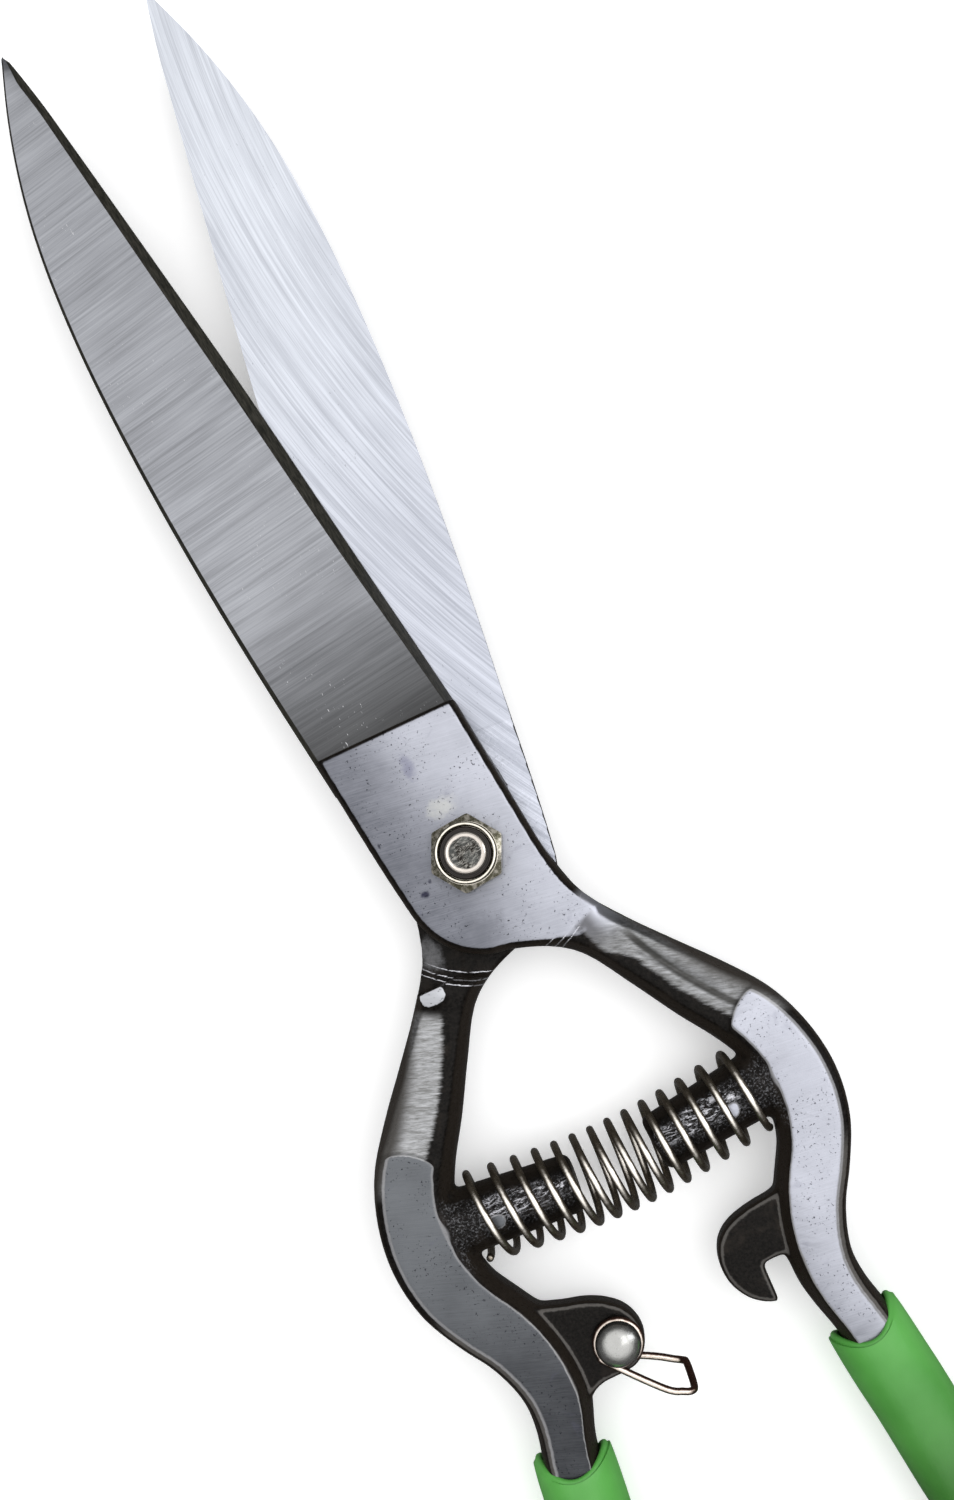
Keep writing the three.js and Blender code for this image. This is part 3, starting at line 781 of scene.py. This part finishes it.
def shape_forging(points, edges, normals):
    """Turns the remeshed CAD limb into a forging: soft fillets, then crisp ground faces."""
    hub = smoothstep(points[:, 1], -24, -16)
    points = relaxed(points, edges, 0.55 - 0.42 * hub, 9)
    x, y, z = points.T
    handle = 1 - smoothstep(y, -26, -20)
    stub = handle * smoothstep(x, 29, 25) * smoothstep(y, -76, -71)
    rough = bump_field(points, 3.2, 1) * 0.05 + bump_field(points, 1.2, 2) * 0.03
    z = z * (1 + 0.035 * handle) + np.sign(z) * rough * handle * (1 + 2 * stub)
    z = eased_edges(np.stack([x, y, z], 1), normals)
    # the rubbed ridge lies below the ground face, which starts in an arch across the bar
    dx, dy = x - ARCH[0], y - ARCH[1]
    down = 0.57 * dx - 0.82 * dy
    across = 0.82 * dx + 0.57 * dy
    above_arch = smoothstep(0.05 * across ** 2 - down, 0, 1.1) * smoothstep(y, -22, -27)
    above_arch = above_arch * smoothstep(y, -58, -52)
    ridge = soft_cap(z, HALF_THICK - 0.42, 0.8)
    z = z + (ridge - z) * above_arch * smoothstep(x, 8, 12)
    # on the joint side the bar lies lower next to the hub, with one spot ground flush
    z = z * (1 - 0.1 * (z < 0) * smoothstep(y, -36, -31))
    spot = ((x - 18.3) * 0.9 + (y + 20.8) * 0.4) ** 2 / 6.9
    spot = spot + ((y + 20.8) * 0.9 - (x - 18.3) * 0.4) ** 2 / 3.5
    z = z - (z < -3) * 3.0 * np.exp(-spot)
    z = z - (z > 0) * 0.45 * along_line(points, (20, -27.5), (32.5, -45), 0.9)
    z = np.clip(z, -HALF_THICK, HALF_THICK)
    # the joint face is ground flat, and makes room for the blade's own face above the hub
    flat = (np.hypot(x, y) < 40) & (y > -20) & (z < 0.45)
    z = np.where(flat, FACE_GAP + 0.25 * smoothstep(y, 21.2, 21.6), z)
    return np.stack([x, y, z], 1)


def forging(node, name, material):
    piece = add_object(node + "_work", cut_limb(node))
    remesh = piece.modifiers.new("remesh", "REMESH")
    remesh.mode = "VOXEL"
    remesh.voxel_size = VOXEL
    mesh = baked(piece)
    set_coords(mesh, shape_forging(coords(mesh), edge_ends(mesh), vertex_normals(mesh)))
    thin = piece.modifiers.new("thin", "DECIMATE")
    thin.ratio = 0.45
    mesh = baked(piece)
    bpy.data.objects.remove(piece)
    place(mesh, limb_matrix(node))
    smooth_shade(mesh, 35)
    return finish_piece(name, mesh, material, node, [node])


def blade_stations(node, count):
    """Where the CAD blade's two sides lie at heights up to its tip, in the blade's frame."""
    turn = Matrix.Rotation(-math.radians(BLADE_LEAN[node]), 4, "Z")
    mesh = frame["nodes"][node].data.copy()
    mesh.transform(turn @ limb_matrix(node).inverted())
    points = coords(mesh)
    ends = edge_ends(mesh)
    a, b = points[ends[:, 0]], points[ends[:, 1]]
    tip = points[:, 1].max()
    stations = []
    for height in np.linspace(SHOULDER_Y + 3, tip - 0.6, count):
        crossing = (a[:, 1] - height) * (b[:, 1] - height) < 0
        p, q = a[crossing], b[crossing]
        share = ((height - p[:, 1]) / (q[:, 1] - p[:, 1]))[:, None]
        cut = p + (q - p) * share
        stations.append((cut[:, 0].min(), height, cut[:, 0].max(), cut[:, 2].max()))
    bpy.data.meshes.remove(mesh)
    first, second = stations[0], stations[1]
    root = SHOULDER_Y - 6
    back = (first[1] - root) / (second[1] - first[1])
    lower = tuple(f - (s - f) * back for f, s in zip(first, second))
    middle = (stations[-1][0] + stations[-1][2]) / 2
    stations.insert(0, lower)
    stations.append((middle, tip - 0.05, middle + 0.02, stations[-1][3]))
    return np.array(stations)


def blade(node, name, face, bevel):
    """A crisp blade: hollow outer face, flat joint face, cutting bevel and thin back."""
    left, height, right, top = blade_stations(node, 16).T
    path = spline(np.stack([left, height, right, top], 1), 120)
    rings = []
    total = path[-1, 1] - path[0, 1]
    for lx, v, rx, thick in path:
        t = (v - path[0, 1]) / total
        width = rx - lx
        chamfer = min(1.05 - 0.6 * t, width * 0.25)
        band = min(1.5 + 0.9 * math.sin(math.pi * min(t * 1.1, 1)), width * 0.35)
        bevel_top = min(2.9 - 1.2 * t, thick * 0.75)
        hollow = 0.25 * (1 - t)
        ring = [(lx, v, FACE_GAP), (lx, v, thick - 0.9 * chamfer)]
        for k in range(13):
            s = k / 12
            u = lx + chamfer + (width - chamfer - band) * s
            z = thick + (bevel_top - thick) * s - hollow * math.sin(math.pi * s)
            ring.append((u, v, z))
        ring.append((rx - 0.08, v, FACE_GAP + 0.35))
        ring.append((rx, v, FACE_GAP + 0.15))
        ring.append((rx, v, FACE_GAP))
        rings.append(ring)
    mesh = lofted(name, rings)
    turn = Matrix.Rotation(math.radians(BLADE_LEAN[node]), 4, "Z")
    place(mesh, limb_matrix(node) @ turn)
    smooth_shade(mesh, 22)
    piece = finish_piece(name, mesh, [face, bevel], node)
    mark_bevel(mesh, len(rings[0]), len(rings))
    return piece


def mark_bevel(mesh, count, rings):
    """The faces of the bevel, the chamfer and the back take the second material."""
    dark = {0, 1, count - 4, count - 3}
    for index, face in enumerate(mesh.polygons):
        if index < (rings - 1) * count and index % count in dark:
            face.material_index = 1


# ------------------------------------------------------------------ fasteners and wire
def hexagon(name, bottom, top, across_flats, turn, bore=0.0, chamfers=(True, True),
            face_radius=6.35):
    """A hexagon with turned corners; its rings run from the bore out and back."""
    slope = math.tan(math.radians(30))
    rings = []
    sides = 144
    for k in range(sides):
        a = 2 * math.pi * k / sides
        fold = (a + math.pi / 6) % (math.pi / 3) - math.pi / 6
        edge = across_flats / 2 / math.cos(math.pi / 6 - abs(fold))
        edge = min(edge, across_flats / math.sqrt(3) - 0.09)
        drop = (edge - face_radius) * slope
        upper = top - (drop if chamfers[1] else 0.25)
        lower = bottom + (drop if chamfers[0] else 0.0)
        face_low = face_radius if chamfers[0] else edge
        profile = [(bore, top), (face_radius if chamfers[1] else edge - 0.25, top),
                   (edge, upper), (edge, lower), (face_low - 0.001, bottom), (bore, bottom)]
        b = a + turn
        rings.append([(r * math.cos(b), r * math.sin(b), z) for r, z in profile])
    count = len(rings[0])
    points = [p for ring in rings for p in ring]
    faces = []
    for k in range(sides):
        for j in range(count - 1 if bore == 0 else count):
            a = k * count + j
            b = ((k + 1) % sides) * count + j
            step = 1 if j < count - 1 else 1 - count
            faces.append((a, b, b + step, a + step))
    return welded(mesh_from(name, points, faces), 1e-4)


def joined(meshes, name):
    bm = bmesh.new()
    for mesh in meshes:
        bm.from_mesh(mesh)
    out = bpy.data.meshes.new(name)
    bm.to_mesh(out)
    bm.free()
    return out


def box_mm(node):
    low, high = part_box(node)
    return [v / MM for v in low], [v / MM for v in high]


def pivot_nut(material):
    low, high = box_mm("pivot_nut")
    seat, top = low[2], high[2]
    shoulder = seat + 5.9
    hexa = hexagon("hexa", seat, shoulder, NUT_FLATS, math.radians(4.8), bore=4.3,
                   face_radius=5.9)
    profile = [(4.3, shoulder - 2), (5.9, shoulder - 0.6), (5.8, shoulder + 0.1),
               (5.8, top - 0.3), (5.6, top), (5.2, top), (5.03, top - 0.35),
               (5.0, shoulder - 0.1), (4.3, shoulder - 1)]
    collar = turned("collar", rounded(profile, 0.16), sides=96)
    mesh = place(joined([hexa, collar], "nut"), Matrix.Scale(MM, 4))
    smooth_shade(mesh, 30)
    return finish_piece("lock_nut", mesh, material, "front_limb", ["pivot_nut"])


def nut_ring(material):
    low, high = box_mm("nut_insert")
    profile = [(4.02, low[2]), (4.93, low[2]), (4.93, high[2] - 0.3), (4.6, high[2] + 0.1),
               (4.3, high[2] - 0.15), (4.02, high[2] + 0.1), (4.02, low[2])]
    mesh = place(turned("ring", rounded(profile, 0.15), sides=72), Matrix.Scale(MM, 4))
    smooth_shade(mesh, 40)
    return finish_piece("lock_ring", mesh, material, "front_limb", ["nut_insert"])


def pivot_bolt(material, end_material):
    low, high = box_mm("pivot_bolt")
    head = hexagon("head", low[2], 5.3, NUT_FLATS, 0, chamfers=(True, False))
    end = high[2]
    profile = [(0.0, 4.8), (BOLT_RADIUS, 4.8), (BOLT_RADIUS, end - 0.6), (3.75, end - 0.12),
               (3.5, end)]
    for k in range(13):
        profile.append((3.3 * (1 - k / 12), end - 0.03))
    shank = turned("shank", profile, sides=72)
    mesh = joined([head, shank], "bolt")
    points = coords(mesh)
    rough = bump_field(points, 0.9, 4) * 0.3
    radius = np.linalg.norm(points[:, :2], axis=1)
    points[:, 2] -= np.abs(rough) * (points[:, 2] > end - 0.05) * (radius < 3.0)
    set_coords(mesh, points)
    place(mesh, Matrix.Scale(MM, 4))
    smooth_shade(mesh, 30)
    top = end * MM
    piece = finish_piece("bolt", mesh, [material, end_material], "front_limb",
                         ["pivot_bolt"])
    for face in mesh.polygons:
        if face.center.z > top - 0.6 * MM:
            face.material_index = 1
    return piece


def latch_rivet(material):
    low, high = box_mm("latch_rivet")
    x, y = RIVET.x / MM, RIVET.y / MM
    under = MID / MM + 5.25
    dome_high = high[2] - under
    profile = [(0.0, low[2] + 0.25), (1.6, low[2]), (3.2, low[2] + 0.1), (4.1, low[2] + 1.0),
               (3.9, low[2] + 1.5), (3.0, low[2] + 1.55), (3.0, under), (4.15, under)]
    for k in range(15):
        a = math.pi / 2 * k / 14
        profile.append((4.4 * math.cos(a), under + 0.25 + (dome_high - 0.25) * math.sin(a)))
    mesh = turned("rivet", profile, x, y, 64)
    points = coords(mesh)
    dent = np.exp(-(((points[:, 0] - x + 0.4) ** 2 + (points[:, 1] - y - 1.3) ** 2) / 0.9))
    points[:, 2] -= 0.22 * dent * (points[:, 2] > under + 1)
    set_coords(mesh, points)
    place(mesh, Matrix.Scale(MM, 4))
    smooth_shade(mesh, 45)
    return finish_piece("rivet", mesh, material, "rear_limb", ["latch_rivet"])


def latch_bail(material):
    """The latch wire: an eye round the rivet on each side, two legs and a cross bar."""
    x, y, mid = RIVET / MM
    z = 4.225  # how far off the joint plane each leg lies
    radius = 4.3

    def eye(side, start, end):
        angles = [math.radians(start + (end - start) * k / 14) for k in range(15)]
        return [(x + radius * math.cos(a), y + radius * math.sin(a), side * z) for a in angles]

    front = [*eye(1, -65, 215), (-9.7, -107.4, z), (-6.6, -109.5, z),
             (-5.1, -110.2, z - 0.5), (-4.4, -109.8, z - 1.8)]
    back = [*eye(-1, -55, 240), (-9.5, -103.2, -z), (-6.3, -105.3, -z),
            (-4.8, -106.1, 0.5 - z), (-4.2, -106.6, 1.8 - z)]
    points = [np.array(p) + (0, 0, mid) for p in front + back[::-1]]
    mesh = place(tube("bail", spline(points, 260), BAIL_WIRE), Matrix.Scale(MM, 4))
    smooth_shade(mesh, 50)
    return finish_piece("latch_wire", mesh, material, "latch_bail", ["latch_bail"])


def return_spring(material):
    """A coil on a line that sags between the stubs, its turns a little closer in the middle."""
    turns = 14
    half = 29.7  # half of its length
    radius = 8.5
    ends_y = -63.2
    sag = 2.8
    crowding = 0.14
    path = []
    steps = turns * 40
    for k in range(steps + 1):
        t = k / steps
        angle = turns * 2 * math.pi * t
        along = 2 * t - 1
        spread = (1 - crowding) * along + crowding * along ** 3
        path.append((half * spread,
                     ends_y - sag * (1 - along ** 2) - radius * math.cos(angle),
                     MID / MM - radius * math.sin(angle)))
    mesh = place(tube("spring", path, SPRING_WIRE), Matrix.Scale(MM, 4))
    smooth_shade(mesh, 50)
    piece = finish_piece("coil_spring", mesh, material, None, ["return_spring"])
    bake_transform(piece)
    return piece


# ------------------------------------------------------------------ grips
GRIP_RINGS = [  # middle of each ring, half width and half height
    (29.9, -111.1, 7.3, 7.6), (30.4, -114.1, 7.9, 8), (33, -134.6, 8, 8),
    (36.7, -164.6, 8.4, 8), (38.5, -191.6, 8.4, 7.8), (38.4, -213.6, 7.8, 7.2),
    (38.1, -220.6, 6.3, 5.9),
]
SADDLE = 4.0  # how much lower the mouth lies in front and behind than at its sides
REAR_SWELL = 1.2  # the rear bar, and so its grip, stands this much further out
GRIP_STEPS = 90
MOUTH_WALL = 1.5
DOMED_END = 4.6  # the closed end stands about this far past the last ring


def grip(limb, name, node, material):
    """A dipped sleeve: thick rounded mouth, lower in front and behind than at its sides."""
    shift = REAR_SWELL if limb.startswith("rear") else 0.0
    rail = spline(np.array(GRIP_RINGS) + (shift, 0, 0, 0), GRIP_STEPS)
    run = np.gradient(rail[:, :2], axis=0)
    run /= np.linalg.norm(run, axis=1)[:, None]
    sides = 64
    turns = np.linspace(0, 2 * math.pi, sides, endpoint=False)

    def ring(k, wall, slide):
        """Ring k of the rail, its wall moved in, and slid along by up to `slide`."""
        x, y, width, height = rail[k]
        dx, dy = run[k]
        out = []
        for a in turns:
            dip = slide[0] + slide[1] * math.sin(a) ** 2
            across = (width - wall) * math.cos(a)
            out.append((x - dy * across + dx * dip, y + dx * across + dy * dip,
                        (height - wall) * math.sin(a)))
        return out

    rings = [ring(8, MOUTH_WALL, (0, 1.5)), ring(3, MOUTH_WALL, (0, 3.2))]
    for k in range(7):
        a = math.pi * k / 6
        rings.append(ring(0, 0.7 * (1 + math.cos(a)), (0.8 - 0.75 * math.sin(a), SADDLE)))
    for k in range(1, GRIP_STEPS):
        rings.append(ring(k, 0, (0.0, SADDLE * max(0, 1 - k / 12))))
    last = ring(GRIP_STEPS - 1, 0, (0, 0))
    end = Vector((*rail[-1, :2], 0))
    push = Vector((*run[-1], 0)) * DOMED_END
    for k in range(1, 9):
        a = math.pi / 2 * k / 8.3
        rings.append([end + (Vector(p) - end) * math.cos(a) + push * math.sin(a) for p in last])
    mesh = lofted(name, rings)
    points = coords(mesh)
    centre = np.interp(points[:, 1], rail[::-1, 1], rail[::-1, 0])
    away = points - np.stack([centre, points[:, 1], np.zeros(len(points))], 1)
    away /= np.linalg.norm(away, axis=1)[:, None]
    points += away * (bump_field(points, 9, 6) * 0.16 - 0.1)[:, None]
    set_coords(mesh, points)
    place(mesh, limb_matrix(limb))
    smooth_shade(mesh, 60)
    return finish_piece(name, mesh, material, limb, [node])


# ------------------------------------------------------------------ stage
def floor():
    """A plain pale floor, left out of glossy reflections."""
    p = Paint("pale_floor")
    cloud = p.noise(p.mm, 0.003, 2)
    p.set(colour=p.mix(cloud, (0.93, 0.93, 0.93), (0.96, 0.96, 0.96)), rough=0.9)
    p.shader.inputs["Emission Color"].default_value = (1, 1, 1, 1)
    p.shader.inputs["Emission Strength"].default_value = 0.3
    size = 3.0
    mesh = mesh_from("floor", [(-size, -size, 0), (size, -size, 0), (size, size, 0),
                               (-size, size, 0)], [(0, 1, 2, 3)])
    mesh.materials.append(p.material)
    piece = add_object("floor", mesh)
    piece.location.z = -0.0002
    piece.visible_glossy = False


def soft_light(name, place_at, size, power, tint):
    light = bpy.data.lights.new(name, "AREA")
    light.shape = "RECTANGLE"
    light.size, light.size_y = size
    light.energy = power
    light.color = tint
    lamp = bpy.data.objects.new(name, light)
    lamp.location = place_at
    aim = Vector((0, 0, 0)) - Vector(place_at)
    lamp.rotation_euler = aim.to_track_quat("-Z", "Y").to_euler()
    bpy.context.scene.collection.objects.link(lamp)


def studio():
    """A soft dome: bright overhead, dark towards the horizon, pale where the camera sees it."""
    world = bpy.data.worlds.new("studio")
    world.use_nodes = True
    tree = world.node_tree
    background = tree.nodes["Background"]
    where = tree.nodes.new("ShaderNodeTexCoord")
    split = tree.nodes.new("ShaderNodeSeparateXYZ")
    tree.links.new(where.outputs["Generated"], split.inputs[0])
    rise = tree.nodes.new("ShaderNodeMapRange")
    rise.interpolation_type = "SMOOTHSTEP"
    rise.inputs["From Min"].default_value = 0.4
    rise.inputs["From Max"].default_value = 0.86
    rise.inputs["To Min"].default_value = 0.1
    rise.inputs["To Max"].default_value = 1.45
    tree.links.new(split.outputs["Z"], rise.inputs["Value"])
    path = tree.nodes.new("ShaderNodeLightPath")
    tint = tree.nodes.new("ShaderNodeMix")
    tint.data_type = "RGBA"
    tree.links.new(rise.outputs["Result"], tint.inputs[6])
    tint.inputs[7].default_value = (0.85, 0.85, 0.85, 1)
    tree.links.new(path.outputs["Is Camera Ray"], tint.inputs[0])
    tree.links.new(tint.outputs[2], background.inputs["Color"])
    background.inputs["Strength"].default_value = 1.0
    scene = bpy.context.scene
    scene.world = world
    soft_light("overhead", (0.28, -0.05, 0.8), (0.4, 0.4), 0.8, (1, 1, 1))
    soft_light("right", (0.7, -0.1, 0.5), (0.3, 0.5), 1.2, (0.95, 0.97, 1))
    scene.view_settings.view_transform = "Standard"
    scene.view_settings.look = "None"


def camera():
    """Straight down on the flat of the shears, turned so that the blades lean left."""
    turn = math.radians(25.2)
    data = bpy.data.cameras.new("camera")
    data.lens = 41.2
    data.sensor_width = 36
    data.shift_x = -0.082
    data.shift_y = 0.102
    data.clip_start = 0.01
    data.clip_end = 10
    camera_object = bpy.data.objects.new("camera", data)
    camera_object.location = (18.5 * MM, -18.9 * MM, MID + 330 * MM)
    camera_object.rotation_euler = (0, 0, -turn)
    scene = bpy.context.scene
    scene.collection.objects.link(camera_object)
    scene.camera = camera_object


# ------------------------------------------------------------------ the shears
def build():
    stain = ((-3.4, 19.7), (1.6, 3.2), 0.5, (0.12, 0.12, 0.2))
    smear = ((-0.9, 10.3), (3.6, 2.4), 0.45, (0.55, 0.55, 0.5))
    # a painted shadow on the hub face
    shadow = ((-5, -14), (7, 4), 0.45, (0.12, 0.125, 0.145))
    scars = [((-10.7, -3.5), (1.1, 0.8), 0.9, (0.02, 0.02, 0.04)),
             ((-14.7, 8.4), (0.35, 0.8), 0.9, (0.02, 0.02, 0.03)),
             ((-8.8, -1.6), (0.45, 0.6), 0.8, (0.03, 0.03, 0.05))]
    # one steel on both limbs: the rear's ground faces get darker colours than the front's as
    # painted shade, and each tuple of shares paints shade to light across the faces
    front_steel = forged_steel("front_forging", 1, (0.45, 0.46, 0.515), (0.12, 0.125, 0.145),
                               (1, 0.25, -11, 9), 0.143, [stain, smear, shadow, *scars])
    rear_steel = forged_steel("rear_forging", -1, (0.15, 0.158, 0.17), (0.03, 0.031, 0.035),
                              (0, 1, -115, -52), 0.35, [])
    front_face = front_blade_face()
    rear_face = rear_blade_face()
    bevel = dark_bevel()
    # each plated colour pair: a lit colour for the painted highlight, then a shaded colour for the
    # painted shade
    fastener = plated_steel("fastener_plate", (0.78, 0.73, 0.64), (0.16, 0.15, 0.10),
                            (0.82, 0.97))
    silver = plated_steel("rivet_steel", (0.42, 0.42, 0.405), (0.08, 0.08, 0.075), (0.3, 0.9), 0.16)
    wire = plated_steel("spring_plate", (0.95, 0.9, 0.82), (0.2, 0.17, 0.13), (0.7, 0.98),
                        highlight_heights=(4.0, 8.5))
    latch = plated_steel("latch_plate", (0.75, 0.66, 0.58), (0.12, 0.06, 0.045), (0.75, 1.0))
    green = vinyl()

    forging("front_limb", "front_forging", front_steel)
    forging("rear_limb", "rear_forging", rear_steel)
    blade("front_limb", "front_blade", front_face, bevel)
    blade("rear_limb", "rear_blade", rear_face, bevel)
    pivot_bolt(fastener, sheared_end())
    pivot_nut(fastener)
    nut_ring(nylon())
    latch_rivet(silver)
    latch_bail(latch)
    return_spring(wire)
    grip("front_limb", "front_sleeve", "front_grip", green)
    grip("rear_limb", "rear_sleeve", "rear_grip", green)


build()
floor()
studio()
camera()
